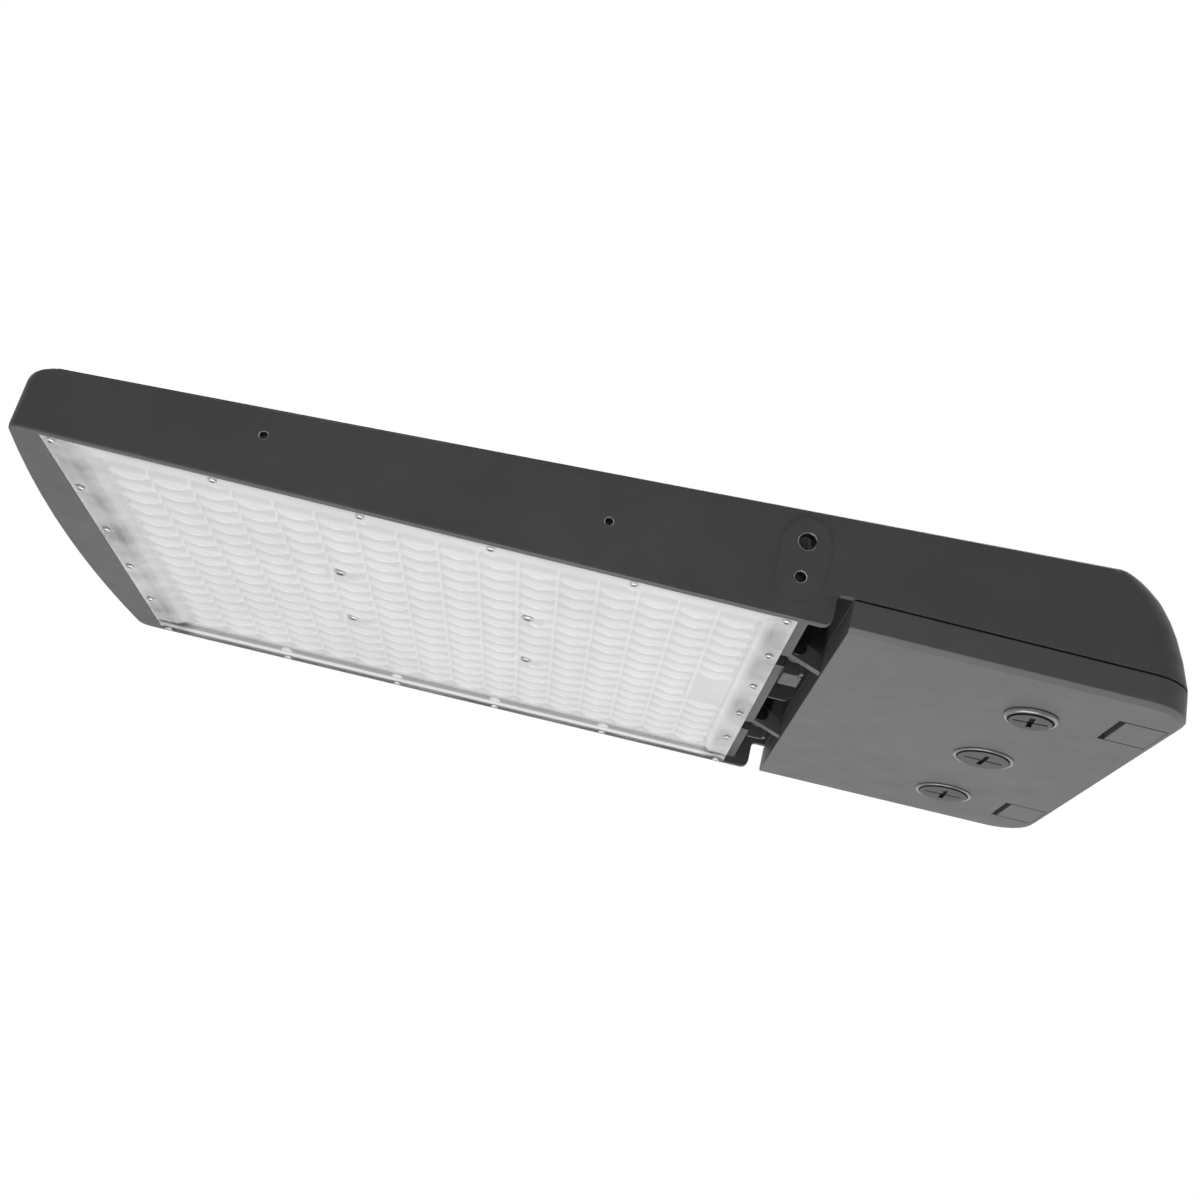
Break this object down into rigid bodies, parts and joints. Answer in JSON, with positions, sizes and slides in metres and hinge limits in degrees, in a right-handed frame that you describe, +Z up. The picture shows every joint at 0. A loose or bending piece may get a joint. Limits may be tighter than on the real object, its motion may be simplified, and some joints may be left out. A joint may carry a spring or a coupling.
{
  "type": "shoebox area light",
  "caption": "Flat tapering outdoor area light with a sunken lens panel, a driver box with a hinged latched door, plugged entries and side bolt holes for a yoke.",
  "frame": {"origin": "midpoint of the yoke bolts' axis, between the large holes of the two side walls", "axes": "+X from the nose to the tail (the driver box), +Y from the near side to the far side, +Z up; the lens faces down"},
  "size_m": [0.7015, 0.3372, 0.087],
  "materials": {
    "housing_paint": "powder coat on a die casting, charcoal, fine texture",
    "door_paint": "powder coat on a die casting, charcoal, fine texture",
    "plug_paint": "painted zinc casting",
    "clear_lens": "clear moulded acrylic with optics",
    "board_white": "white solder mask",
    "black_rubber": "matt silicone or EPDM rubber",
    "steel": "stainless steel",
    "spring_steel": "bright spring steel",
    "zinc_plate": "zinc-plated sheet steel",
    "driver_case": "plain drawn aluminium case",
    "black_plastic": "moulded plastic",
    "white_plastic": "moulded plastic",
    "green_screw": "green-dyed steel",
    "red_wire": "wire insulation",
    "black_wire": "wire insulation",
    "white_wire": "wire insulation",
    "green_wire": "wire insulation"
  },
  "bodies": {
    "housing_body": {"housing": "housing_paint", "lens_panel": "clear_lens", "lens_gasket": "black_rubber", "led_board_nose_near": "board_white", "led_board_nose_far": "board_white", "led_board_tail_near": "board_white", "led_board_tail_far": "board_white", "lens_screw_1": "steel", "lens_screw_2": "steel", "lens_screw_3": "steel", "lens_screw_4": "steel", "wire_bush": "black_rubber", "gear_tray": "zinc_plate", "tray_screw_1": "steel", "tray_screw_2": "steel", "tray_screw_3": "steel", "tray_screw_4": "steel", "driver": "driver_case", "driver_screw_front": "steel", "driver_screw_rear": "steel", "surge_protector": "black_plastic", "terminal_block": "white_plastic", "ground_screw": "green_screw", "led_lead_plus": "red_wire", "led_lead_minus": "black_wire", "mains_lead_live": "black_wire", "mains_lead_neutral": "white_wire", "surge_lead": "red_wire", "ground_lead": "green_wire", "latch_keeper_near": "spring_steel", "latch_keeper_far": "spring_steel"},
    "door_body": {"door": "door_paint", "door_gasket": "black_rubber", "hinge_pin_near": "steel", "latch_spring_near": "spring_steel", "latch_guide_near": "zinc_plate", "hinge_pin_far": "steel", "latch_spring_far": "spring_steel", "latch_guide_far": "zinc_plate", "entry_plug_near": "plug_paint", "plug_seal_near": "black_rubber", "entry_plug_middle": "plug_paint", "plug_seal_middle": "black_rubber", "entry_plug_far": "plug_paint", "plug_seal_far": "black_rubber"},
    "latch_near_body": {"latch_near": "door_paint"},
    "latch_far_body": {"latch_far": "door_paint"}
  },
  "joints": [
    {"name": "door_hinge", "type": "hinge", "parent": "housing_body", "child": "door_body", "pos_m": [0.017, 0, -0.0325], "axis": [0, 1, 0], "range_deg": [0, 90], "deforming": ["latch_keeper_near", "latch_keeper_far"]},
    {"name": "latch_near_slide", "type": "slide", "parent": "door_body", "child": "latch_near_body", "axis": [-1, 0, 0], "range_m": [0, 0.004], "stiffness_N_per_m": 500, "springref_m": -0.004, "deforming": ["latch_spring_near"]},
    {"name": "latch_far_slide", "type": "slide", "parent": "door_body", "child": "latch_far_body", "axis": [-1, 0, 0], "range_m": [0, 0.004], "stiffness_N_per_m": 500, "springref_m": -0.004, "deforming": ["latch_spring_far"]}
  ]
}
